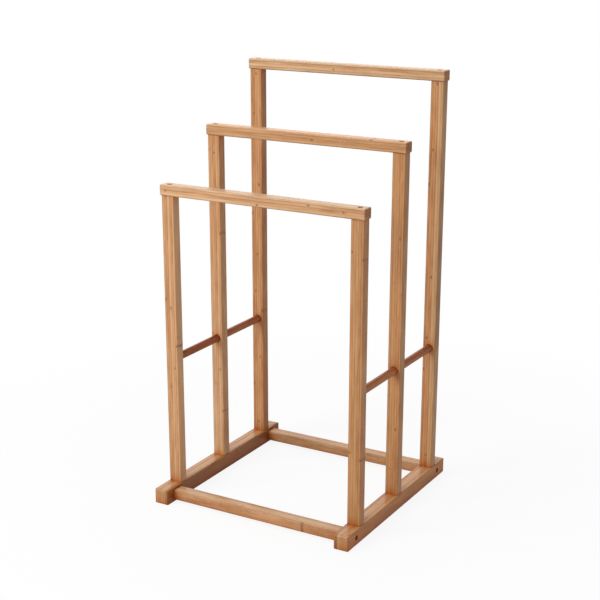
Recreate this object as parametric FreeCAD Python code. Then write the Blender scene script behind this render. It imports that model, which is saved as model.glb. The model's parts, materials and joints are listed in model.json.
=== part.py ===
import FreeCAD, Part
import math
import os
from FreeCAD import Vector

# Freestanding towel stand: two side frames (a floor runner, three uprights and two side
# dowels each), joined by three towel rails on top and two stretchers between the runners.
#
# X runs to the right as seen from the front, Y to the rear and Z up. The origin is on the
# floor, at the centre of the footprint. All sizes are in millimetres.

# ---------------------------------------------------------------- driving dimensions

# Layout
span_over_uprights = 420.0  # between the outer faces of the left and right uprights
runner_length = 422.0
front_setback = 49.0        # front end of a runner to the front upright
rear_setback = 41.0         # rear upright to the rear end of a runner
front_rail_top = 620.0      # height of the lowest rail's top face
middle_rail_top = 710.0
rear_rail_top = 820.0
side_dowel_height = 282.0   # floor to the axis of a side dowel
stretcher_setback = 22.0    # end of a runner to the nearer face of a stretcher

# Bars
runner_width = 30.0
runner_height = 30.0
upright_width = 26.0        # along X
upright_depth = 20.0        # along Y
rail_depth = 25.0
rail_height = 20.0
rail_overhang = 2.0         # past the outer face of an upright
stretcher_depth = 25.0
stretcher_height = 20.0
edge_radius = 2.0           # rounding on every bar
runner_end_radius = 4.0     # rounding round each end of a runner
dowel_diameter = 15.0
dowel_chamfer = 1.0
socket_web = 6.0            # left between the two dowel sockets of a middle upright

# Furniture screws with a cylinder head and a hexagon socket
rail_screw_length = 50.0    # under the head
runner_screw_length = 60.0
screw_head_diameter = 9.5
screw_head_height = 4.0
screw_head_chamfer = 0.5
screw_socket_flats = 4.0    # across flats
screw_socket_depth = 2.5
screw_shank_diameter = 5.5
thread_crest_diameter = 6.5
thread_root_diameter = 4.4
thread_pitch = 3.0
screw_tip_length = 4.0
rail_screw_sink = 2.0       # face of the bar to the top of the head
runner_screw_sink = 4.0

# Fits
recess_clearance = 0.25     # round a screw head, on the radius
shank_clearance = 0.25      # round a thread in the bar that it passes through, on the radius
pilot_clearance = 0.05      # round a thread in the bar that it holds in, on the radius
pilot_run_out = 2.0         # pilot hole past the tip of its screw
dowel_clearance = 0.1       # glue line round a dowel and past its end

tiny = 1e-6                 # two lengths closer than this are the same

# ---------------------------------------------------------------- derived places

frame_x = (span_over_uprights - upright_width) / 2
first_row = -runner_length / 2 + front_setback + upright_depth / 2
last_row = runner_length / 2 - rear_setback - upright_depth / 2
row_pitch = (last_row - first_row) / 2
rows = {
    "front": (first_row, front_rail_top),
    "middle": (first_row + row_pitch, middle_rail_top),
    "rear": (last_row, rear_rail_top),
}
sides = {"left": -1, "right": 1}

stretcher_offset = runner_length / 2 - stretcher_setback - stretcher_depth / 2
stretcher_rows = {"front": -stretcher_offset, "rear": stretcher_offset}
stretcher_z = runner_height / 2
stretcher_half = frame_x - runner_width / 2

socket_depth = (upright_depth - socket_web) / 2
socket_radius = dowel_diameter / 2 + dowel_clearance

head_radius = screw_head_diameter / 2
crest_radius = thread_crest_diameter / 2
root_radius = thread_root_diameter / 2
recess_radius = head_radius + recess_clearance
passage_radius = crest_radius + shank_clearance
pilot_radius = crest_radius + pilot_clearance

rail_recess = rail_screw_sink + screw_head_height
runner_recess = runner_screw_sink + screw_head_height
rail_screw_bite = rail_screw_length - (rail_height - rail_recess)
foot_screw_bite = runner_screw_length - (runner_height - runner_recess)
stretcher_screw_bite = runner_screw_length - (runner_width - runner_recess)

UP = Vector(0, 0, 1)
DOWN = Vector(0, 0, -1)
REARWARD = Vector(0, 1, 0)
RIGHTWARD = Vector(1, 0, 0)


# ---------------------------------------------------------------- shapes

def block(centre, size):
    """A plain box of the given size round its centre."""
    corner = centre - size * 0.5
    return Part.makeBox(size.x, size.y, size.z, corner)


def is_along(edge, direction):
    """True for a straight edge parallel to the direction."""
    run = edge.Vertexes[-1].Point - edge.Vertexes[0].Point
    return isinstance(edge.Curve, Part.Line) and run.cross(direction).Length < tiny


def rounded_along(shape, direction):
    """The bar with its long edges rounded."""
    long_edges = [edge for edge in shape.Edges if is_along(edge, direction)]
    return shape.makeFillet(edge_radius, long_edges)


def bar_with_sawn_ends(centre, size, direction):
    """A bar with rounded long edges, and ends sawn square to butt on other bars."""
    return rounded_along(block(centre, size), direction)


def bar_rounded_all_over(centre, size):
    """A bar with its long edges and the edges of its free ends rounded alike."""
    shape = block(centre, size)
    return shape.makeFillet(edge_radius, shape.Edges)


def bar_with_softer_ends(centre, size, direction, end_radius):
    """A bar with rounded long edges, and a larger rounding round its free ends."""
    shape = block(centre, size)
    end_edges = [edge for edge in shape.Edges if not is_along(edge, direction)]
    return rounded_along(shape.makeFillet(end_radius, end_edges), direction)


def drill(mouth, direction, radius, depth):
    """The round tool of a hole that starts at its mouth and runs along the direction."""
    return Part.makeCylinder(radius, depth, mouth, direction)


def screw_recess(face_point, direction, recess_depth, bar_thickness):
    """A recess for a screw head, and its passage through the rest of the bar."""
    recess = drill(face_point, direction, recess_radius, recess_depth)
    passage = drill(face_point, direction, passage_radius, bar_thickness)
    return recess.fuse(passage)


def threaded_length(length, passage):
    """The thread starts where the screw leaves the bar that it passes through."""
    return length - passage


def screw(length, thread_length):
    """A screw on the Z axis, head up, with the underside of its head at Z = 0.

    The thread is a row of ridges, one for each turn."""
    head = Part.makeCylinder(head_radius, screw_head_height)
    rim = [edge for edge in head.Edges if edge.BoundBox.ZMin > screw_head_height - tiny]
    head = head.makeChamfer(screw_head_chamfer, rim)
    corner_radius = screw_socket_flats / 2 / math.cos(math.pi / 6)
    hexagon = [Vector(corner_radius * math.cos(turn * math.pi / 3),
                      corner_radius * math.sin(turn * math.pi / 3),
                      screw_head_height - screw_socket_depth) for turn in range(7)]
    socket = Part.Face(Part.makePolygon(hexagon)).extrude(UP * screw_socket_depth)
    head = head.cut(socket)

    thread_top = thread_length - length
    tip_top = screw_tip_length - length
    turns = int((thread_top - tip_top) / thread_pitch)
    shank_radius = screw_shank_diameter / 2
    profile = [Vector(0, 0, 0), Vector(shank_radius, 0, 0), Vector(shank_radius, 0, thread_top)]
    for turn in range(turns):
        ridge_top = thread_top - turn * thread_pitch
        profile.append(Vector(root_radius, 0, ridge_top - 0.25 * thread_pitch))
        profile.append(Vector(crest_radius, 0, ridge_top - 0.5 * thread_pitch))
        profile.append(Vector(root_radius, 0, ridge_top - 0.75 * thread_pitch))
    profile.append(Vector(root_radius, 0, tip_top))
    profile.append(Vector(0, 0, -length))
    profile.append(profile[0])
    stem = Part.Face(Part.makePolygon(profile)).revolve(Vector(0, 0, 0), UP, 360)
    return head.fuse(stem).removeSplitter()


def driven_in(shape, seat, direction):
    """The screw turned so that it points along the direction, with its head on the seat."""
    placed = shape.copy()
    placed.Placement = FreeCAD.Placement(seat, FreeCAD.Rotation(DOWN, direction))
    return placed


# ---------------------------------------------------------------- sub-parts

def rail(row_y, top):
    """A towel rail, laid flat on the tops of its two uprights."""
    length = span_over_uprights + 2 * rail_overhang
    centre = Vector(0, row_y, top - rail_height / 2)
    shape = bar_rounded_all_over(centre, Vector(length, rail_depth, rail_height))
    for side in sides.values():
        mouth = Vector(side * frame_x, row_y, top)
        shape = shape.cut(screw_recess(mouth, DOWN, rail_recess, rail_height))
    return shape


def upright(side, row_name):
    """An upright from the runner's top face to the underside of its rail."""
    row_y, rail_top = rows[row_name]
    top = rail_top - rail_height
    height = top - runner_height
    x = side * frame_x
    centre = Vector(x, row_y, runner_height + height / 2)
    shape = bar_with_sawn_ends(centre, Vector(upright_width, upright_depth, height), UP)
    shape = shape.cut(drill(Vector(x, row_y, top), DOWN, pilot_radius,
                            rail_screw_bite + pilot_run_out))
    shape = shape.cut(drill(Vector(x, row_y, runner_height), UP, pilot_radius,
                            foot_screw_bite + pilot_run_out))
    if row_name != "front":
        mouth = Vector(x, row_y - upright_depth / 2, side_dowel_height)
        shape = shape.cut(drill(mouth, REARWARD, socket_radius, socket_depth))
    if row_name != "rear":
        mouth = Vector(x, row_y + upright_depth / 2, side_dowel_height)
        shape = shape.cut(drill(mouth, -REARWARD, socket_radius, socket_depth))
    return shape


def runner(side):
    """A floor runner, bored for the screws of its three uprights and two stretchers."""
    x = side * frame_x
    centre = Vector(x, 0, runner_height / 2)
    size = Vector(runner_width, runner_length, runner_height)
    shape = bar_with_softer_ends(centre, size, REARWARD, runner_end_radius)
    for row_y, _ in rows.values():
        mouth = Vector(x, row_y, 0)
        shape = shape.cut(screw_recess(mouth, UP, runner_recess, runner_height))
    for stretcher_y in stretcher_rows.values():
        mouth = Vector(side * (frame_x + runner_width / 2), stretcher_y, stretcher_z)
        inward = Vector(-side, 0, 0)
        shape = shape.cut(screw_recess(mouth, inward, runner_recess, runner_width))
    return shape


def stretcher(stretcher_y):
    """A base cross bar, butted between the inner faces of the runners."""
    centre = Vector(0, stretcher_y, stretcher_z)
    size = Vector(2 * stretcher_half, stretcher_depth, stretcher_height)
    shape = bar_with_sawn_ends(centre, size, RIGHTWARD)
    for side in sides.values():
        mouth = Vector(side * stretcher_half, stretcher_y, stretcher_z)
        inward = Vector(-side, 0, 0)
        shape = shape.cut(drill(mouth, inward, pilot_radius,
                                stretcher_screw_bite + pilot_run_out))
    return shape


def side_dowel(side, row_y):
    """A round dowel, glued into the sockets of one upright and the next one behind it."""
    end_in = upright_depth / 2 - socket_depth + dowel_clearance
    start = Vector(side * frame_x, row_y + end_in, side_dowel_height)
    shape = Part.makeCylinder(dowel_diameter / 2, row_pitch - 2 * end_in, start, REARWARD)
    rims = [edge for edge in shape.Edges if isinstance(edge.Curve, Part.Circle)]
    return shape.makeChamfer(dowel_chamfer, rims)


def rail_screws():
    """Six screws, down through the rail ends into the tops of the uprights."""
    one = screw(rail_screw_length, threaded_length(rail_screw_length, rail_height - rail_recess))
    return [driven_in(one, Vector(side * frame_x, row_y, top - rail_recess), DOWN)
            for row_y, top in rows.values() for side in sides.values()]


def foot_screws():
    """Six screws, up through the runners into the feet of the uprights."""
    one = screw(runner_screw_length,
                threaded_length(runner_screw_length, runner_height - runner_recess))
    return [driven_in(one, Vector(side * frame_x, row_y, runner_recess), UP)
            for row_y, _ in rows.values() for side in sides.values()]


def stretcher_screws():
    """Four screws, in through the runners' outer faces into the ends of the stretchers."""
    one = screw(runner_screw_length,
                threaded_length(runner_screw_length, runner_width - runner_recess))
    seat_x = frame_x + runner_width / 2 - runner_recess
    return [driven_in(one, Vector(side * seat_x, stretcher_y, stretcher_z), Vector(-side, 0, 0))
            for stretcher_y in stretcher_rows.values() for side in sides.values()]


# ---------------------------------------------------------------- assembly

nodes = {}
for side_name, side in sides.items():
    nodes[f"runner_{side_name}"] = runner(side)
    for row_name in rows:
        nodes[f"upright_{row_name}_{side_name}"] = upright(side, row_name)
    nodes[f"side_dowel_front_{side_name}"] = side_dowel(side, rows["front"][0])
    nodes[f"side_dowel_rear_{side_name}"] = side_dowel(side, rows["middle"][0])
for row_name, (row_y, rail_top) in rows.items():
    nodes[f"rail_{row_name}"] = rail(row_y, rail_top)
for row_name, stretcher_y in stretcher_rows.items():
    nodes[f"stretcher_{row_name}"] = stretcher(stretcher_y)
nodes["rail_screws"] = Part.makeCompound(rail_screws())
nodes["foot_screws"] = Part.makeCompound(foot_screws())
nodes["stretcher_screws"] = Part.makeCompound(stretcher_screws())

os.makedirs("parts", exist_ok=True)
for name, shape in nodes.items():
    box = shape.BoundBox
    print(f"{name:26s} solids {len(shape.Solids)}  valid {shape.isValid()}  "
          f"x {box.XMin:.1f}..{box.XMax:.1f}  y {box.YMin:.1f}..{box.YMax:.1f}  "
          f"z {box.ZMin:.1f}..{box.ZMax:.1f}")
    shape.exportStep(f"parts/{name}.step")
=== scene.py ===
# %% [markdown]
# # A towel stand in laminated bamboo
#
# The stand is three towel rails at three heights, on two side frames that two cross bars tie
# together at the floor. Every bar is milled from laminated bamboo and lacquered.
#
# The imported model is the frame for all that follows: it says how large each piece is and where
# it goes. Loading it first means that no size has to be typed twice.

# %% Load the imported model
import json
import math

import bmesh
import bpy
from mathutils import Matrix, Vector

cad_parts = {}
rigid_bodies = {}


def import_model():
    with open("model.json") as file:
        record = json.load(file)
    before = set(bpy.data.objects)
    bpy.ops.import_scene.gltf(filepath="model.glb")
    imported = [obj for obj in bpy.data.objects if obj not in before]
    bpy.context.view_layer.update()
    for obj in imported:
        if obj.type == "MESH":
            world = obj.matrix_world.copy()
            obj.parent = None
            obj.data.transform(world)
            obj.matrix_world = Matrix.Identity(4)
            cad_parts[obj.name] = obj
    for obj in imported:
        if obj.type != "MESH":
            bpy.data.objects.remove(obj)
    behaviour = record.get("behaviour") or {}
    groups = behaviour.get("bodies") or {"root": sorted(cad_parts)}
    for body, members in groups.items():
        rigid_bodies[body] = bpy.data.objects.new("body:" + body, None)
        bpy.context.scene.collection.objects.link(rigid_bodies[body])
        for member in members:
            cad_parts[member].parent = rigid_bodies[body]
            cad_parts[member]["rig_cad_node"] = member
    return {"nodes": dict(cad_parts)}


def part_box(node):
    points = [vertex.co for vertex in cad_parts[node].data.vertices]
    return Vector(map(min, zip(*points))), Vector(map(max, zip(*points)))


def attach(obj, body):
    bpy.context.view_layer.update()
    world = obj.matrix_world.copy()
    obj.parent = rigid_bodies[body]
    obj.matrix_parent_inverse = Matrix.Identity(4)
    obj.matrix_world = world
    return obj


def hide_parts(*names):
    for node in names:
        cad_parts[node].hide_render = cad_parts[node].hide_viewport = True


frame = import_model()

for left_over in list(bpy.data.objects):
    if left_over.type in ("MESH", "LIGHT", "CAMERA") and "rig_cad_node" not in left_over:
        bpy.data.objects.remove(left_over)

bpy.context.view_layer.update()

# %% [markdown]
# ## The maker's measures
#
# The nodes' boxes give the bars' outer sizes. What a box can't tell is written here: how round
# the edges are, and how the screws and their holes are made. A drawing in millimetres is easier
# to read, so each measure is a number of millimetres times MM.

# %% The measures that the boxes don't give
MM = 0.001

edge_radius = 2 * MM          # long edges of every bar
rail_end_radius = 2 * MM
runner_end_radius = 4 * MM
sawn_edge = 0.25 * MM         # a sawn end loses its burr and no more

socket_radius = 7.6 * MM
socket_depth = 7 * MM

head_radius = 4.75 * MM
head_height = 4 * MM
recess_radius = 5 * MM
passage_radius = 3.5 * MM
pilot_radius = 3.3 * MM
pilot_run_out = 2 * MM        # how far a pilot hole goes past the screw's tip
drill_point = 0.2             # depth of a drill's point, as a share of its radius
eased_rim = 0.35 * MM         # a hole's mouth is eased before lacquering

rail_recess = 6 * MM          # face of the bar to the underside of the head
runner_recess = 8 * MM
rail_screw_length = 50 * MM   # under the head
runner_screw_length = 60 * MM

# %% [markdown]
# ## Which way each bar lies
#
# A bar is easiest to mill, and to think about, lying along its own X axis. Its Y axis is the
# one along which the bamboo strips are stacked, and Z is the broad side of the strips. Each
# bar's mesh is made like that, and the object is then turned into place. The grain of the
# finish is drawn in the bar's own axes, so it turns with the bar and always runs along it.

# %% Turn a bar from its own axes into the stand
AXES = {  # where the bar's own X, Y and Z point in the stand
    "upright": ((0, 0, 1), (1, 0, 0), (0, 1, 0)),
    "runner": ((0, 1, 0), (-1, 0, 0), (0, 0, 1)),
    "rail": ((1, 0, 0), (0, 0, 1), (0, -1, 0)),
    "stretcher": ((1, 0, 0), (0, 1, 0), (0, 0, 1)),
    "dowel": ((0, 1, 0), (-1, 0, 0), (0, 0, 1)),
}


def turn_of(kind):
    """The rotation from a bar's own axes to the stand's."""
    return Matrix([Vector(axis) for axis in AXES[kind]]).transposed()


def size_and_centre(node, kind):
    """A node's size along the bar's own axes, and its centre in the stand."""
    low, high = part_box(node)
    size = turn_of(kind).transposed() @ (high - low)
    return Vector([abs(s) for s in size]), (low + high) / 2


def new_object(name, mesh):
    piece = bpy.data.objects.new(name, mesh)
    bpy.context.scene.collection.objects.link(piece)
    return piece


def put_in_place(piece, kind, centre):
    piece.matrix_world = Matrix.Translation(centre) @ turn_of(kind).to_4x4()


# %% [markdown]
# ## Milling a bar
#
# On the real stand a bar is planed square and its edges are rounded with a router. A cube with
# a Bevel modifier would do for equal roundings. Here the runners' ends are rounder than their
# long edges, so the bar is lofted instead: a rounded rectangle is drawn at each station along
# the bar, shrinking over the last few millimetres as the end turns in, and the rings are
# joined with quads.

# %% Loft a bar from rounded sections
ARC_STEPS = 5
STATION_SPACING = 40 * MM
edge_band = 4 * MM            # how far from an edge the finish still differs from the face's
end_ring_inset = 5 * MM       # a ring of points on each end face, where the band has stopped
end_corner_loss = 0.6         # share of its rounding that a long edge loses as the end turns in


def rounded_section(half_y, half_z, radius):
    """Points round a rounded rectangle, anticlockwise as seen from +X. Each flat side also
    has a point at each end of it where the edge's band stops."""
    points = []
    for corner, (side_y, side_z) in enumerate(((1, 1), (-1, 1), (-1, -1), (1, -1))):
        arc = [math.pi / 2 * (corner + step / ARC_STEPS) for step in range(ARC_STEPS + 1)]
        rounding = [(side_y * (half_y - radius) + radius * math.cos(angle),
                     side_z * (half_z - radius) + radius * math.sin(angle)) for angle in arc]
        on_y = (side_y * half_y, side_z * (half_z - edge_band))
        on_z = (side_y * (half_y - edge_band), side_z * half_z)
        before, after = (on_y, on_z) if side_y == side_z else (on_z, on_y)
        points += [before, *rounding, after]
    return points


def end_stations(half_length, end_radius):
    """(x, inset) from the end face to where the bar has its full section."""
    steps = ARC_STEPS if end_radius > sawn_edge else 1
    angles = [math.pi / 2 * step / steps for step in range(steps + 1)]
    return [(half_length, end_ring_inset),
            *((half_length - end_radius * (1 - math.cos(a)), end_radius * (1 - math.sin(a)))
              for a in angles)]


def bridge(bm, rings):
    """Join each ring of points to the next with quads, and close both ends."""
    for near, far in zip(rings, rings[1:]):
        for i in range(len(near)):
            j = (i + 1) % len(near)
            bm.faces.new((near[i], near[j], far[j], far[i]))
    bm.faces.new(reversed(rings[0]))
    bm.faces.new(rings[-1])


def mesh_from(bm, name):
    bmesh.ops.recalc_face_normals(bm, faces=bm.faces)
    mesh = bpy.data.meshes.new(name)
    bm.to_mesh(mesh)
    bm.free()
    return mesh


def milled_bar(name, size, end_radius):
    """A bar along X, centred on the origin."""
    half_length, half_y, half_z = size / 2
    middle = half_length - max(end_radius, edge_band) - edge_radius
    ends = [*end_stations(half_length, end_radius), (middle, 0)]
    count = max(1, round(2 * middle / STATION_SPACING))
    stations = [(-x, inset) for x, inset in ends]
    stations += [(-middle + 2 * middle * k / count, 0) for k in range(1, count)]
    stations += [(x, inset) for x, inset in reversed(ends)]
    bm = bmesh.new()
    rings = []
    for x, inset in stations:
        corner = edge_radius * (1 - end_corner_loss * min(1, inset / end_radius))
        section = rounded_section(half_y - inset, half_z - inset, corner)
        rings.append([bm.verts.new((x, y, z)) for y, z in section])
    bridge(bm, rings)
    return mesh_from(bm, name)


# %% [markdown]
# ## Drilling
#
# Screw recesses, pilot holes and dowel sockets are drilled. A Boolean modifier does what the
# drill does: each drill is a turned shape, and it is taken away from the bar. The drill's
# profile has a small flare at the surface, because a real hole's rim is eased before the
# lacquer goes on, and it is that rim which catches the light.

# %% Drills, and the cut that they make
DRILL_SIDES = 40
OVERSHOOT = 1 * MM


def turned(bm, profile, place, sides):
    """Turn a profile of (radius, depth) about the X axis of place. It starts and ends at
    radius 0."""
    first = bm.verts.new(place @ Vector((profile[0][1], 0, 0)))
    last = bm.verts.new(place @ Vector((profile[-1][1], 0, 0)))
    turns = [2 * math.pi * k / sides for k in range(sides)]
    rings = [[bm.verts.new(place @ Vector((depth, radius * math.cos(t), radius * math.sin(t))))
              for t in turns] for radius, depth in profile[1:-1]]
    for i in range(sides):
        j = (i + 1) % sides
        bm.faces.new((first, rings[0][j], rings[0][i]))
        bm.faces.new((last, rings[-1][i], rings[-1][j]))
        for near, far in zip(rings, rings[1:]):
            bm.faces.new((near[i], near[j], far[j], far[i]))


def place_along(point, direction):
    """A placement at the point whose X axis runs along the direction."""
    rotation = Vector(direction).to_track_quat("X", "Z").to_matrix().to_4x4()
    return Matrix.Translation(point) @ rotation


def hole_profile(*steps):
    """The drill for a hole of one or more (radius, depth) steps, with an eased rim."""
    mouth = steps[0][0]
    profile = [(0, -OVERSHOOT), (mouth + eased_rim + OVERSHOOT, -OVERSHOOT), (mouth, eased_rim)]
    previous = None
    for radius, depth in steps:
        if previous is not None:
            profile.append((radius, previous))
        profile.append((radius, depth))
        previous = depth
    profile.append((0, previous + drill_point * steps[-1][0]))
    return profile


def smooth(mesh, angle=40):
    """Round faces shade smoothly, and edges sharper than the angle stay crisp."""
    mesh.polygons.foreach_set("use_smooth", [True] * len(mesh.polygons))
    mesh.set_sharp_from_angle(angle=math.radians(angle))


def drill_out(piece, holes):
    """Take (profile, point, direction) holes, given in the bar's own axes, out of a piece."""
    bm = bmesh.new()
    for profile, point, direction in holes:
        turned(bm, profile, place_along(point, direction), DRILL_SIDES)
    drill = new_object("drill", mesh_from(bm, "drill"))
    cut = piece.modifiers.new("drilled", "BOOLEAN")
    cut.operation = "DIFFERENCE"
    cut.solver = "EXACT"
    cut.object = drill
    depsgraph = bpy.context.evaluated_depsgraph_get()
    drilled = bpy.data.meshes.new_from_object(piece.evaluated_get(depsgraph))
    piece.modifiers.clear()
    piece.data = drilled
    bpy.data.objects.remove(drill)


# %% [markdown]
# ## Marks for the finish
#
# The rounded edges that look away from the front, the right and the top are darkened, as
# painted shade: it draws dark rims along the outline of the stand and a contact shadow under
# the runners. The finish therefore has to know where the edges are. A Bevel or Pointiness node
# could find them, but the bar's own measures say it exactly. A sawn end has no rounding and
# butts on another bar, so its edges get no painted shade. Three numbers are stored on each
# vertex: how near an edge in painted shade it is, from 0 to 1; how deep the stain went in,
# which on some faces is painted shade as well; and bar_seed, one number per bar, so that no
# two bars show the same grain.

# %% Write the marks into a mesh
# edges that face this way get no painted shade; those turned away from it get the most
UNSHADED_EDGE_SIDE = Vector((1, -1, 1)).normalized()


def store(mesh, **marks):
    """Store each mark, a list with one number per vertex, under its name."""
    for name, values in marks.items():
        mesh.attributes.new(name, "FLOAT", "POINT").data.foreach_set("value", values)


def mark(mesh, kind, size, seed, stain, sawn):
    """Work out and store the marks of a bar. The stain function gives how far the stain went in,
    and on some faces painted shade, from how far along the bar a point is, from 0 to 1, and
    which way its face looks in the stand. sawn says that the ends are sawn, so that the edges
    round the ends get no painted shade."""
    to_stand = turn_of(kind)
    arris, depth = [], []
    for vertex in mesh.vertices:
        nearness = [max(0.0, 1 - (s / 2 - abs(c)) / edge_band)
                    for c, s in zip(vertex.co, size)]
        outward = to_stand @ Vector([n * (1 if c > 0 else -1)
                                     for n, c in zip(nearness, vertex.co)])
        outward = outward.normalized() if outward.length > 0 else outward
        # painted shade on the edges, darkest on those turned away from the front, right and top
        dark_share = min(1, max(0, 1 - outward.dot(UNSHADED_EDGE_SIDE)))
        to_edge = min(nearness[1:]) if sawn else sorted(nearness)[1]
        arris.append(to_edge * dark_share)
        depth.append(stain(vertex.co.x / size.x + 0.5, outward))
    store(mesh, arris=arris, stain=depth, bar_seed=[seed] * len(arris))


# %% [markdown]
# ## A shorthand for shader nodes
#
# The bamboo is drawn with a good many small nodes. Wired by hand each takes four lines, so a
# short class does the wiring: a method adds a node, or the few that belong together, and
# returns the output, and a number or another output can be given for any input.

# %% The shorthand
class Finish:
    """The nodes of a material, or of the world, which are added by method calls."""

    def __init__(self, owner, output="ShaderNodeOutputMaterial"):
        self.owner = owner
        owner.use_nodes = True
        self.tree = owner.node_tree
        self.tree.nodes.clear()
        self.output = self.tree.nodes.new(output)

    def node(self, kind, inputs=(), **settings):
        made = self.tree.nodes.new(kind)
        for key, value in settings.items():
            setattr(made, key, value)
        for key, value in dict(inputs).items():
            if isinstance(value, bpy.types.NodeSocket):
                self.tree.links.new(value, made.inputs[key])
            else:
                made.inputs[key].default_value = value
        return made

    def math(self, operation, *values, clamp=False):
        return self.node("ShaderNodeMath", enumerate(values), operation=operation,
                         use_clamp=clamp).outputs[0]

    def less(self, value, *parts):
        """The value less part times amount, for each (part, amount)."""
        for part, amount in parts:
            value = self.math("SUBTRACT", value, self.math("MULTIPLY", part, amount))
        return value

    def vector(self, x, y, z):
        return self.node("ShaderNodeCombineXYZ", enumerate((x, y, z))).outputs[0]

    def noise(self, vector, scale=1.0, detail=2.0, roughness=0.5):
        return self.node("ShaderNodeTexNoise", {"Vector": vector, "Scale": scale,
                         "Detail": detail, "Roughness": roughness}).outputs["Fac"]

    def attribute(self, name):
        return self.node("ShaderNodeAttribute", attribute_name=name).outputs["Fac"]

    def spread(self, value, low, high, to_low=0.0, to_high=1.0):
        """Map low..high to to_low..to_high, clamped, with soft ends."""
        return self.node("ShaderNodeMapRange", {"Value": value, "From Min": low,
                         "From Max": high, "To Min": to_low, "To Max": to_high},
                         interpolation_type="SMOOTHSTEP").outputs["Result"]

    def mix(self, share, first, second, blend="MIX"):
        made = self.node("ShaderNodeMix", data_type="RGBA", blend_type=blend)
        for index, value in ((0, share), (6, first), (7, second)):
            if isinstance(value, bpy.types.NodeSocket):
                self.tree.links.new(value, made.inputs[index])
            else:
                made.inputs[index].default_value = value
        return made.outputs[2]

    def tint(self, share, colour, through):
        """The colour, with a share of it seen through a coloured layer."""
        return self.mix(share, colour, self.mix(1.0, colour, through, blend="MULTIPLY"))

    def colours(self, value, stops):
        """A colour ramp of (position, colour) stops."""
        made = self.node("ShaderNodeValToRGB", {"Fac": value})
        ramp = made.color_ramp
        while len(ramp.elements) < len(stops):
            ramp.elements.new(0.5)
        for element, (position, colour) in zip(ramp.elements, stops):
            element.position = position
            element.color = colour
        return made.outputs["Color"]

    def bump(self, height, strength, distance, normal=None):
        inputs = {"Height": height, "Strength": strength, "Distance": distance}
        if normal is not None:
            inputs["Normal"] = normal
        return self.node("ShaderNodeBump", inputs).outputs["Normal"]

    def finish(self, shader):
        self.tree.links.new(shader.outputs[0], self.output.inputs["Surface"])
        return self.owner


def srgb(red, green, blue):
    """A screen colour, 0 to 255, as the linear colour that Blender works in."""
    def linear(channel):
        share = channel / 255
        return share / 12.92 if share <= 0.04045 else ((share + 0.055) / 1.055) ** 2.4
    return (linear(red), linear(green), linear(blue), 1)


# %% [markdown]
# ## Laminated bamboo
#
# A bamboo wall is only a few millimetres thick, so a bar is glued up from strips about 5 mm
# thick, stacked like the pages of a book. Steaming turns them caramel, each a little
# differently. Along a strip run fine fibres and longer dark streaks, and now and then it
# crosses a knuckle of the cane, which leaves a short dark dash. Where the bar is sawn across,
# the fibre bundles show as dots, crowded towards what was the outside of the cane.
#
# A photograph of bamboo wrapped round the bars would stretch at the edges. Drawing the strips
# in the bar's own three axes instead makes them run round every edge and out of every end,
# as if the bar were really cut from a block.

# %% Draw the strips, fibres and knuckles
WARM_STRIP = (1.05, 0.92, 0.84, 1)      # what each of these leaves of the colour under it
KNUCKLE = (0.50, 0.40, 0.32)
# the two coats are the stain's colours; on the runners' inner faces and the rear stretcher they
# also paint shade
FIRST_COAT_AND_SHADE = (0.80, 0.58, 0.34, 1)
SECOND_COAT_AND_SHADE = (0.66, 0.52, 0.48, 1)
# painted shade: on the edges turned away from the front, right and top, and in inside corners
EDGE_SHADE_TINT = (0.42, 0.42, 0.50, 1)
PAINTED_CORNER_SHADE = (0.88, 0.52, 0.22, 1)


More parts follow.
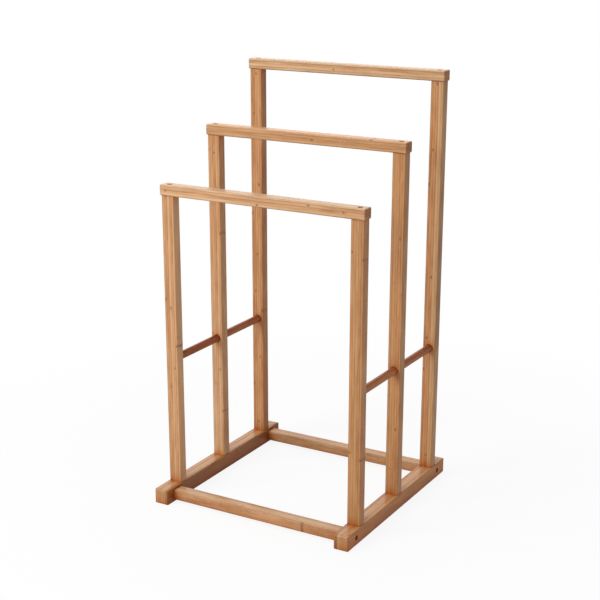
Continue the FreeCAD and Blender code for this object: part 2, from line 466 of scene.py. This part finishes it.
def laminated_bamboo(name, light, middle, dark, strip, contrast, gloss, lacquer):
    """Lacquered bamboo. strip is the thickness of a strip in metres, contrast how much the
    strips differ, gloss the roughness of the lacquer and lacquer how thick it is, 0 to 1."""
    f = Finish(bpy.data.materials.new(name))
    place = f.node("ShaderNodeTexCoord")
    own = f.node("ShaderNodeSeparateXYZ", {0: place.outputs["Object"]})
    along, across, broad = own.outputs
    seed = f.attribute("bar_seed")

    # the strips: their number, the place within one, and three chance numbers for each
    wander = 0.45             # how far the strips stray from straight, in strips
    seed_shift = 7.31         # how far the seed moves the stack, in strips
    drift = f.noise(f.vector(f.math("MULTIPLY", along, 5), seed, 0), detail=1)
    stack = f.math("ADD", f.math("DIVIDE", across, strip), f.math("MULTIPLY", seed, seed_shift))
    stack = f.math("ADD", stack, f.math("MULTIPLY", drift, wander))
    number = f.math("FLOOR", stack)
    within = f.math("FRACT", stack)
    chance = f.node("ShaderNodeTexWhiteNoise", {"Vector": f.vector(number, seed, 3)})
    picks = f.node("ShaderNodeSeparateColor", {0: chance.outputs["Color"]}).outputs
    own_tone, own_place, own_warmth = picks

    # fibres: noise drawn out along the bar, different in each strip
    fibre_shift = 9           # how far a strip's fibres are moved along it at most, in metres
    shifted = f.math("ADD", along, f.math("MULTIPLY", own_place, fibre_shift))

    def drawn_out(along_scale, across_scale, detail, roughness=0.5):
        """Noise with so many waves to the metre along the bar and across it."""
        return f.noise(f.vector(f.math("MULTIPLY", shifted, along_scale),
                                f.math("MULTIPLY", across, across_scale),
                                f.math("MULTIPLY", broad, across_scale)),
                       detail=detail, roughness=roughness)

    fine = drawn_out(30, 1700, detail=4, roughness=0.6)
    coarse = drawn_out(9, 420, detail=3, roughness=0.55)
    cloud = drawn_out(15, 90, detail=2)
    streak = f.spread(drawn_out(13, 260, detail=2), 0.56, 0.74)
    thread = f.spread(drawn_out(24, 1000, detail=1), 0.54, 0.70)

    # knuckles: a soft dash that is darkest in the middle of its strip, with a thin dark line
    # across the strip at its heart; faint in most strips
    spacing = 0.37            # from one knuckle of the cane to the next, in metres
    knuckle_shift = 17        # how far a strip's knuckles are moved at most, in spacings
    turn = f.math("ADD", f.math("DIVIDE", along, spacing),
                  f.math("MULTIPLY", own_place, knuckle_shift))
    ragged = f.noise(f.vector(f.math("MULTIPLY", along, 60), f.math("MULTIPLY", across, 500),
                              f.math("MULTIPLY", broad, 260)), detail=3)
    off = f.math("SUBTRACT", f.math("FRACT", turn), 0.5)
    off = f.math("ADD", off, f.math("MULTIPLY", f.math("SUBTRACT", ragged, 0.5), 0.02))
    near = f.math("ABSOLUTE", f.math("MULTIPLY", off, spacing))
    middle_of_strip = f.math("SUBTRACT", 1, f.math("ABSOLUTE", f.math("SUBTRACT",
                             f.math("MULTIPLY", within, 2), 1)))
    dash = f.math("MULTIPLY", f.spread(near, 0.0055, 0.0005),
                  f.spread(middle_of_strip, 0.05, 0.7, 0.0, 0.6))
    heart = f.math("MULTIPLY", f.spread(near, 0.0016, 0.0003),
                   f.spread(middle_of_strip, 0.0, 0.3, 0.0, 0.5))
    dash = f.math("MULTIPLY", f.math("ADD", dash, heart),
                  f.spread(own_warmth, 0.35, 0.75, 0.12, 0.85))

    # the colour of the steamed cane
    def around_zero(value, amount):
        return f.math("MULTIPLY", f.math("SUBTRACT", value, 0.5), amount)

    tone = f.math("ADD", around_zero(own_tone, contrast), around_zero(coarse, 0.6))
    tone = f.math("ADD", tone, around_zero(cloud, 1.1))
    tone = f.math("ADD", tone, around_zero(fine, 0.5))
    outer_wall = f.spread(within, 0.45, 1.0)
    tone = f.less(tone, (streak, 0.3), (thread, 0.3), (outer_wall, 0.3))
    usual_tone = 0.61         # between dark, 0, and light, 1
    colour = f.colours(f.math("ADD", tone, usual_tone, clamp=True),
                       ((0.0, dark), (0.5, middle), (1.0, light)))
    colour = f.tint(f.spread(own_warmth, 0.1, 0.9), colour, WARM_STRIP)
    knuckle = (*(share * channel for share, channel in zip(KNUCKLE, dark)), 1)
    colour = f.mix(dash, colour, knuckle)
    to_glue = f.math("MULTIPLY", f.math("MINIMUM", within, f.math("SUBTRACT", 1, within)), strip)
    glue = f.spread(to_glue, 0.0003, 0.00005)
    colour = f.mix(f.math("MULTIPLY", glue, 0.4), colour, knuckle)

    # sawn ends: darker, with the fibre bundles as dots
    facing = f.node("ShaderNodeSeparateXYZ", {0: place.outputs["Normal"]}).outputs[0]
    sawn = f.spread(f.math("ABSOLUTE", facing), 0.75, 0.95)
    dots = f.node("ShaderNodeTexVoronoi", {"Vector": f.vector(0, across, broad),
                  "Scale": 1150.0, "Randomness": 0.85}).outputs["Distance"]
    crowd = f.spread(within, 0.0, 1.0, 0.20, 0.44)
    dot = f.math("MULTIPLY", f.math("LESS_THAN", dots, crowd), 0.5)
    end_colour = f.mix(0.30, colour, dark)
    end_colour = f.mix(dot, end_colour, knuckle)
    colour = f.mix(sawn, colour, end_colour)

    # the stain: up to 1 for the first coat and up to 2 for a second, which on some faces is
    # painted shade; then painted shade darkens the edges turned away from the front, right and
    # top, and the inside corners, warm as if lit by light bounced between the bars
    stain = f.attribute("stain")
    colour = f.tint(stain, colour, FIRST_COAT_AND_SHADE)
    colour = f.tint(f.math("SUBTRACT", stain, 1), colour, SECOND_COAT_AND_SHADE)
    arris = f.attribute("arris")
    # painted shade along the edges, broken into patches
    edge_shade_patches = f.noise(f.vector(f.math("MULTIPLY", along, 60), f.math("MULTIPLY", across, 250),
                           f.math("MULTIPLY", broad, 250)), detail=3)
    edge_shade_share = f.math("MULTIPLY", f.spread(arris, 0.25, 0.85),
                        f.spread(edge_shade_patches, 0.3, 0.65, 0.35, 1.0))
    colour = f.tint(edge_shade_share, colour, EDGE_SHADE_TINT)
    corner_shade_reach = 26 * MM    # how far from an inside corner the painted shade reaches
    open_air = f.node("ShaderNodeAmbientOcclusion", {"Distance": corner_shade_reach},
                      samples=8).outputs["AO"]
    colour = f.tint(f.spread(open_air, 1.0, 0.40), colour, PAINTED_CORNER_SHADE)

    # the surface: fibres telegraph through the lacquer, which has a faint orange peel
    grain = f.math("ADD", f.math("MULTIPLY", coarse, 0.5), f.math("MULTIPLY", fine, 0.5))
    grain = f.less(grain, (dash, 0.6), (thread, 0.3), (glue, 0.4))
    relief = f.bump(grain, 0.25, 0.0003)
    peel = f.noise(place.outputs["Object"], scale=240.0, detail=1)
    skin = f.bump(peel, 0.08, 0.0003, relief)
    roughness = f.spread(coarse, 0.2, 0.8, gloss + 0.24, gloss + 0.14)

    shader = f.node("ShaderNodeBsdfPrincipled", {
        "Base Color": colour, "Roughness": roughness, "Normal": relief,
        "Specular IOR Level": 0.0, "Coat Weight": lacquer, "Coat Roughness": gloss,
        "Coat IOR": 1.5, "Coat Normal": skin,
    })
    return f.finish(shader)


caramel = laminated_bamboo("caramel_bamboo", light=srgb(215, 182, 144), middle=srgb(200, 164, 127),
                           dark=srgb(170, 126, 87), strip=5.2 * MM, contrast=0.6, gloss=0.22,
                           lacquer=0.33)
russet = laminated_bamboo("russet_bamboo", light=srgb(178, 116, 74), middle=srgb(158, 94, 55),
                          dark=srgb(118, 62, 34), strip=4.6 * MM, contrast=0.9, gloss=0.28,
                          lacquer=0.33)
print("finishes:", caramel.name, russet.name)

# %% [markdown]
# ## Plated steel
#
# The screws sit at the bottom of their recesses, so little of them shows: a dull plated head
# with a hexagon socket. Steel is all reflection. What makes it look like a screw and not like
# chrome is the faint turning marks and the patches where the plating has gone dull.

# %% The screws' finish
def plated_steel(name):
    f = Finish(bpy.data.materials.new(name))
    place = f.node("ShaderNodeTexCoord").outputs["Object"]
    patches = f.noise(place, scale=900.0, detail=4)
    marks = f.noise(place, scale=6000.0, detail=2)
    colour = f.colours(patches, ((0.3, (0.19, 0.18, 0.16, 1)), (0.7, (0.38, 0.35, 0.31, 1))))
    roughness = f.spread(patches, 0.3, 0.7, 0.48, 0.32)
    shader = f.node("ShaderNodeBsdfPrincipled", {
        "Base Color": colour, "Metallic": 1.0, "Roughness": roughness,
        "Normal": f.bump(marks, 0.2, 0.00005),
    })
    return f.finish(shader)


steel = plated_steel("plated_steel")

# %% [markdown]
# ## The bars of the frame
#
# Each kind of bar is the same recipe: read the node's box, mill a bar of that size, drill its
# holes, mark it for the finish and stand it where the node is. One function does that, and
# each kind of bar adds only its list of holes.

# %% One recipe for every bar
first_seed, seed_step = 1.0, 3.7
seeds = {node: first_seed + seed_step * k for k, node in enumerate(sorted(frame["nodes"]))}
seeds.update(rail_middle=95.4, side_dowel_rear_right=96.6)     # pieces picked for their tone


def dress(piece, node, material):
    """Give a piece its finish, attach it to the stand and hide the node that it stands for."""
    smooth(piece.data)
    even = piece.modifiers.new("even_shading", "WEIGHTED_NORMAL")
    even.keep_sharp = True
    piece.data.materials.clear()
    piece.data.materials.append(material)
    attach(piece, "root")
    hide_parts(node)


def make_bar(node, kind, end_radius, holes, stain):
    """Mill, drill, mark and place the bar that stands for a node."""
    size, centre = size_and_centre(node, kind)
    name = node + "_bamboo"
    piece = new_object(name, milled_bar(name, size, end_radius))
    to_bar = turn_of(kind).transposed()
    drill_out(piece, [(profile, to_bar @ (Vector(point) - centre), to_bar @ Vector(direction))
                      for profile, point, direction in holes])
    mark(piece.data, kind, size, seeds[node], stain, sawn=end_radius == sawn_edge)
    put_in_place(piece, kind, centre)
    dress(piece, node, caramel)
    return piece


def middle_of(node):
    low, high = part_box(node)
    return (low + high) / 2


def thickness_of(node):
    low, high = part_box(node)
    return high.z - low.z


# %% [markdown]
# ## Rails
#
# A rail lies flat on two upright tops and is held by a screw down through each end. The screw
# head sits below the surface, where nothing can catch on it. The front and rear rails are the
# palest bars: they took the stain lightly. The middle one took more of it, and so did the open
# fibres of all six ends.

# %% Make the three rails
UP, DOWN = Vector((0, 0, 1)), Vector((0, 0, -1))
ROWS = ("front", "middle", "rear")
SIDES = ("left", "right")


def rail_screw_mouths(row):
    low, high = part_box(f"rail_{row}")
    return [Vector((middle_of(f"upright_{row}_{side}").x, (low.y + high.y) / 2, high.z))
            for side in SIDES]


def on_rail_end(outward):
    """1 on a rail's end faces, a little on the edges round them, and 0 on its long faces."""
    return max(0, 2.5 * abs(outward.x) - 1.5)


rail_stain = {"front": 0.0, "middle": 0.38, "rear": 0.0}
extra_on_right = 0.15

for row in ROWS:
    through = thickness_of(f"rail_{row}") + OVERSHOOT
    bore = hole_profile((recess_radius, rail_recess), (passage_radius, through))
    holes = [(bore, mouth, DOWN) for mouth in rail_screw_mouths(row)]
    made = make_bar(f"rail_{row}", "rail", rail_end_radius, holes,
                    stain=lambda along, outward: (rail_stain[row] + extra_on_right * along
                                                  + on_rail_end(outward)))
    print(made.name, len(made.data.polygons), "faces")

# %% [markdown]
# ## Uprights
#
# An upright is sawn square at both ends, because it butts on the runner below and carries the
# rail above. A pilot hole in each end takes a screw, and the round sockets in its front and
# rear faces take the side dowels. A screw is plain as far as it passes through the piece that
# it holds, and threaded from there on. Each bar took the stain a little differently. Those on
# the right are the reddest, and the middle left one is palest at its foot.

# %% Make the six uprights
FORWARD, REARWARD = Vector((0, -1, 0)), Vector((0, 1, 0))


def dowel_height(side):
    return middle_of(f"side_dowel_front_{side}").z


upright_stain = {
    ("front", "left"): 0.32, ("middle", "left"): 0.46, ("rear", "left"): 0.50,
    ("front", "right"): 0.64, ("middle", "right"): 0.69, ("rear", "right"): 0.55,
}
foot_stain = {("middle", "left"): -0.6}      # how much darker the foot is than the rest; below 0, paler
usual_foot_stain = 0.1
side_face_share = 0.6                        # of the stain on the front and rear faces

rail_plain = thickness_of("rail_front") - rail_recess
runner_plain = thickness_of("runner_left") - runner_recess
rail_pilot = hole_profile((pilot_radius, rail_screw_length - rail_plain + pilot_run_out))
runner_pilot = hole_profile((pilot_radius, runner_screw_length - runner_plain + pilot_run_out))
socket = hole_profile((socket_radius, socket_depth))

for side in SIDES:
    for row in ROWS:
        node = f"upright_{row}_{side}"
        low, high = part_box(node)
        x, y = middle_of(node).x, middle_of(node).y
        holes = [(rail_pilot, (x, y, high.z), DOWN), (runner_pilot, (x, y, low.z), UP)]
        if row != "front":
            holes.append((socket, (x, low.y, dowel_height(side)), REARWARD))
        if row != "rear":
            holes.append((socket, (x, high.y, dowel_height(side)), FORWARD))
        depth = upright_stain[row, side]
        foot = foot_stain.get((row, side), usual_foot_stain)

        def stain(along, outward):
            facing = 1 - (1 - side_face_share) * abs(outward.x)
            return depth * facing + foot * (1 - along) ** 2

        made = make_bar(node, "upright", sawn_edge, holes, stain)
        print(made.name, len(made.data.polygons), "faces")

# %% [markdown]
# ## Runners
#
# The two runners are the feet of the stand. Their free ends are rounded more than anything
# else on it. Screws come up through them into the uprights, and in through their outer faces
# into the stretchers. Their side faces show the broad side of a single strip, which drinks
# more stain than the strips' edges do on top. The faces that look to the inside of the stand
# get a second coat of the stain's colour, which is painted shade.

# %% Make the two runners
INWARD = {"left": Vector((1, 0, 0)), "right": Vector((-1, 0, 0))}
ENDS = ("front", "rear")      # the stretchers and the side dowels have no middle row


def under_upright(row, side):
    """The point on a runner's underside below the middle of an upright."""
    middle = middle_of(f"upright_{row}_{side}")
    return Vector((middle.x, middle.y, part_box(f"runner_{side}")[0].z))


def beside_stretcher(row, side):
    """The point on a runner's outer face in line with the middle of a stretcher."""
    middle = middle_of(f"stretcher_{row}")
    low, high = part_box(f"runner_{side}")
    return Vector((low.x if side == "left" else high.x, middle.y, middle.z))


def runner_holes(side):
    through = thickness_of(f"runner_{side}") + OVERSHOOT
    bore = hole_profile((recess_radius, runner_recess), (passage_radius, through))
    return [*((bore, under_upright(row, side), UP) for row in ROWS),
            *((bore, beside_stretcher(row, side), INWARD[side]) for row in ENDS)]


runner_top_stain = 0.54       # the side faces have one full coat; the inner ones a second, as painted shade

for side in SIDES:
    def stain(along, outward):
        to_side = (1 - runner_top_stain) * abs(outward.x)
        # the term for faces turned to the inside of the stand is painted shade
        return runner_top_stain + to_side + max(0, outward.dot(INWARD[side]))

    made = make_bar(f"runner_{side}", "runner", runner_end_radius, runner_holes(side), stain)
    print(made.name, len(made.data.polygons), "faces")

# %% [markdown]
# ## Stretchers
#
# Two stretchers keep the side frames apart. They butt between the runners, with a pilot hole
# in each end.

# %% Make the two stretchers
# the rear stretcher is darkened more than the front one, as painted shade under the stand
stretcher_stain = {"front": 0.15, "rear": 0.4}

for row in ENDS:
    node = f"stretcher_{row}"
    low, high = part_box(node)
    middle = middle_of(node)
    holes = [(runner_pilot, (low.x, middle.y, middle.z), INWARD["left"]),
             (runner_pilot, (high.x, middle.y, middle.z), INWARD["right"])]
    made = make_bar(node, "stretcher", sawn_edge, holes,
                    stain=lambda along, outward: stretcher_stain[row])
    print(made.name, len(made.data.polygons), "faces")

# %% [markdown]
# ## Side dowels
#
# Round dowels join the uprights of a side frame, about a third of the way up. They are turned
# from darker, redder stock than the bars, and the front left one is stained as well. A dowel
# is a profile turned about its own axis, with a chamfer at each end that helps it into its
# socket.

# %% Turn the four dowels
DOWEL_SIDES = 48
DOWEL_STEPS = 12
dowel_chamfer = 1 * MM
dowel_stain = {"side_dowel_front_left": 0.8}


def make_dowel(node):
    size, centre = size_and_centre(node, "dowel")
    half = size.x / 2
    radius = size.y / 2
    body = [(radius, -half + dowel_chamfer + (size.x - 2 * dowel_chamfer) * k / DOWEL_STEPS)
            for k in range(DOWEL_STEPS + 1)]
    profile = [(0, -half), (radius - dowel_chamfer, -half), *body,
               (radius - dowel_chamfer, half), (0, half)]
    bm = bmesh.new()
    turned(bm, profile, Matrix.Identity(4), DOWEL_SIDES)
    name = node + "_bamboo"
    piece = new_object(name, mesh_from(bm, name))
    count = len(piece.data.vertices)
    store(piece.data, bar_seed=[seeds[node]] * count,
          stain=[dowel_stain.get(node, 0.0)] * count, arris=[0.0] * count)
    put_in_place(piece, "dowel", centre)
    dress(piece, node, russet)
    return piece


for side in SIDES:
    for row in ENDS:
        made = make_dowel(f"side_dowel_{row}_{side}")
        print(made.name, len(made.data.polygons), "faces")

# %% [markdown]
# ## Furniture screws
#
# The stand is held by sixteen screws with a cylinder head and a hexagon socket. Only the heads
# show, but the screws are made whole, as they would lie on the bench. A thread is a ridge
# that climbs as it goes round, so the shank is a grid of rings in which each point's radius
# depends on how far along and how far round it is.

# %% Make one screw
SCREW_SIDES = 24
RINGS_PER_TURN = 6
shank_radius = 2.75 * MM
root_radius = 2.2 * MM
crest_radius = 3.25 * MM
pitch = 3 * MM
tip_length = 4 * MM
head_chamfer = 0.5 * MM
socket_flats = 4 * MM
hex_depth = 2.5 * MM


def stem_radius(x, turn, length, plain):
    """Radius of the stem at a depth x under the head, where turn is the share of a turn."""
    if x <= plain:
        return shank_radius
    to_tip = length - x
    ridge = abs((x / pitch + turn) % 1 - 0.5) * 2
    crest = root_radius + (crest_radius - root_radius) * max(0, 2 * ridge - 1)
    return crest * min(1, to_tip / tip_length) if to_tip < tip_length else crest


def add_screw(bm, length, plain, place):
    """A screw with its head above the seat at place, and its stem along place's +X."""
    rings = []
    head = [(head_radius - head_chamfer, -head_height), (head_radius, head_chamfer - head_height),
            (head_radius, 0), (shank_radius, 0)]
    turns = [2 * math.pi * k / SCREW_SIDES for k in range(SCREW_SIDES)]
    floor_x = hex_depth - head_height

    def round_point(turn, radius, x):
        return Vector((x, radius * math.cos(turn), radius * math.sin(turn)))

    def hex_point(turn, x):
        off_flat = (turn + math.pi / 6) % (math.pi / 3) - math.pi / 6
        return round_point(turn, socket_flats / 2 / math.cos(off_flat), x)

    def ring(points):
        rings.append([bm.verts.new(place @ p) for p in points])

    ring([hex_point(t, floor_x) for t in turns])
    ring([hex_point(t, -head_height) for t in turns])
    for radius, x in head:
        ring([round_point(t, radius, x) for t in turns])
    steps = round((length - plain) / pitch * RINGS_PER_TURN)
    ring([round_point(t, shank_radius, plain) for t in turns])
    for k in range(1, steps):
        x = plain + (length - plain) * k / steps
        ring([round_point(t, stem_radius(x, t / (2 * math.pi), length, plain), x) for t in turns])
    bridge(bm, rings)


def screw_group(name, node, screws):
    """One object for all the screws of a node; each is (length, plain, seat, direction)."""
    bm = bmesh.new()
    for length, plain, seat, direction in screws:
        add_screw(bm, length, plain, place_along(seat, direction))
    piece = new_object(name, mesh_from(bm, name))
    dress(piece, node, steel)
    print(name, len(piece.data.polygons), "faces")
    return piece


# %% [markdown]
# The three groups differ only in where the heads are seated and which way they point.

# %% Drive the sixteen screws
screw_group("rail_furniture_screws", "rail_screws", [
    (rail_screw_length, rail_plain, mouth + DOWN * rail_recess, DOWN)
    for row in ROWS for mouth in rail_screw_mouths(row)])

screw_group("foot_furniture_screws", "foot_screws", [
    (runner_screw_length, runner_plain, under_upright(row, side) + UP * runner_recess, UP)
    for row in ROWS for side in SIDES])

screw_group("stretcher_furniture_screws", "stretcher_screws", [
    (runner_screw_length, runner_plain,
     beside_stretcher(row, side) + INWARD[side] * runner_recess, INWARD[side])
    for side in SIDES for row in ENDS])

# %% [markdown]
# ## The floor and the background
#
# The stand is shown on a plain white ground. The floor is a wide pale disc. What the camera
# and mirror-like surfaces see of it is mostly plain white. The rest is its real shading,
# which keeps the soft shadow that ties the feet to the ground. Away from the stand the white
# takes over, so that floor and background meet without a line.

# %% Lay the floor
floor_radius = 14.0
floor_sides = 96
white_near_stand = 0.88
shading_reach = (0.35, 1.3)   # metres from the middle, between which the shading fades out


def seen_directly(f):
    """1 for rays from the camera and for mirrored and refracted rays, else 0."""
    rays = f.node("ShaderNodeLightPath").outputs
    seen = f.math("MAXIMUM", rays["Is Camera Ray"], rays["Is Glossy Ray"])
    return f.math("MAXIMUM", seen, rays["Is Transmission Ray"])


def pale_floor(name):
    f = Finish(bpy.data.materials.new(name))
    real = f.node("ShaderNodeBsdfDiffuse", {"Color": (0.86, 0.86, 0.86, 1)})
    white = f.node("ShaderNodeEmission", {"Color": (1, 1, 1, 1), "Strength": 1.0})
    place = f.node("ShaderNodeTexCoord").outputs["Object"]
    from_middle = f.node("ShaderNodeVectorMath", {0: place}, operation="LENGTH").outputs["Value"]
    whiteness = f.spread(from_middle, *shading_reach, white_near_stand, 1.0)
    share = f.math("MULTIPLY", seen_directly(f), whiteness)
    both = f.node("ShaderNodeMixShader", {0: share, 1: real.outputs[0], 2: white.outputs[0]})
    return f.finish(both)


bm = bmesh.new()
bmesh.ops.create_circle(bm, cap_ends=True, radius=floor_radius, segments=floor_sides)
floor = new_object("studio_floor", mesh_from(bm, "studio_floor"))
floor.data.materials.append(pale_floor("pale_floor"))

# %% [markdown]
# ## The light
#
# A large softbox stands in front, to the left and above. It makes the front faces bright and
# leaves the right-hand faces in half shade, which is what shows the bars to be square. A
# second one overhead lifts the top faces. A dim third one stands behind, low down, where the
# lacquer of the top faces mirrors it. The surroundings give an even fill. Like the floor, they
# are plain white for the camera and for mirror-like surfaces.

# %% Hang the softboxes and set the surroundings
def softbox(name, place, aim, size, watts):
    light = bpy.data.lights.new(name, "AREA")
    light.shape = "RECTANGLE"
    light.size, light.size_y = size
    light.energy = watts
    lamp = new_object(name, light)
    lamp.location = place
    lamp.rotation_euler = (Vector(aim) - Vector(place)).to_track_quat("-Z", "Y").to_euler()
    lamp.visible_camera = False
    return lamp


softbox("key_softbox", place=(-1.3, -2.3, 1.9), aim=(0, 0, 0.45), size=(1.6, 1.6), watts=60)
softbox("top_softbox", place=(0.1, 0.1, 2.9), aim=(0, 0, 0), size=(1.8, 1.8), watts=20)
softbox("back_softbox", place=(-1.3, 2.3, 1.15), aim=(0, 0, 0.3), size=(1.9, 1.2), watts=13)

fill_strength = 0.41


def surroundings(name):
    f = Finish(bpy.data.worlds.new(name), output="ShaderNodeOutputWorld")
    fill = f.node("ShaderNodeBackground", {"Color": (0.98, 0.99, 1.0, 1),
                                           "Strength": fill_strength})
    white = f.node("ShaderNodeBackground", {"Color": (1, 1, 1, 1), "Strength": 1.0})
    both = f.node("ShaderNodeMixShader", {0: seen_directly(f), 1: fill.outputs[0],
                                          2: white.outputs[0]})
    return f.finish(both)


bpy.context.scene.world = surroundings("surroundings")

bpy.context.scene.view_settings.view_transform = "Standard"

# %% [markdown]
# ## The camera
#
# The camera stands about two and a half metres away, to the right of the middle and a little
# above the tallest rail, with a short telephoto lens, so the bars' edges converge only
# slightly. The picture's middle isn't quite where the lens points, which is what shift is for.

# %% Set up the camera
azimuth = 29.72        # degrees round from the front, towards the right
elevation = 17.62      # degrees above the horizon
roll = 0.134           # degrees
distance = 2.558       # metres from the point that the lens looks at
aim_height = 0.3257    # metres above the floor
focal_length = 79.575  # millimetres
sensor_width = 36      # millimetres
shift = (-0.0063, 0.0524)     # to the right and up, as shares of the sensor's width

a, e, r = math.radians(azimuth), math.radians(elevation), math.radians(roll)
back = Vector((math.sin(a) * math.cos(e), -math.cos(a) * math.cos(e), math.sin(e)))
level = Vector((math.cos(a), math.sin(a), 0))
upward = back.cross(level)
right = level * math.cos(r) + upward * math.sin(r)
top = upward * math.cos(r) - level * math.sin(r)

lens = bpy.data.cameras.new("camera")
lens.sensor_width = sensor_width
lens.lens = focal_length
lens.shift_x, lens.shift_y = shift
camera = new_object("camera", lens)
turn = Matrix((right, top, back)).transposed().to_4x4()
camera.matrix_world = Matrix.Translation(Vector((0, 0, aim_height)) + back * distance) @ turn
bpy.context.scene.camera = camera
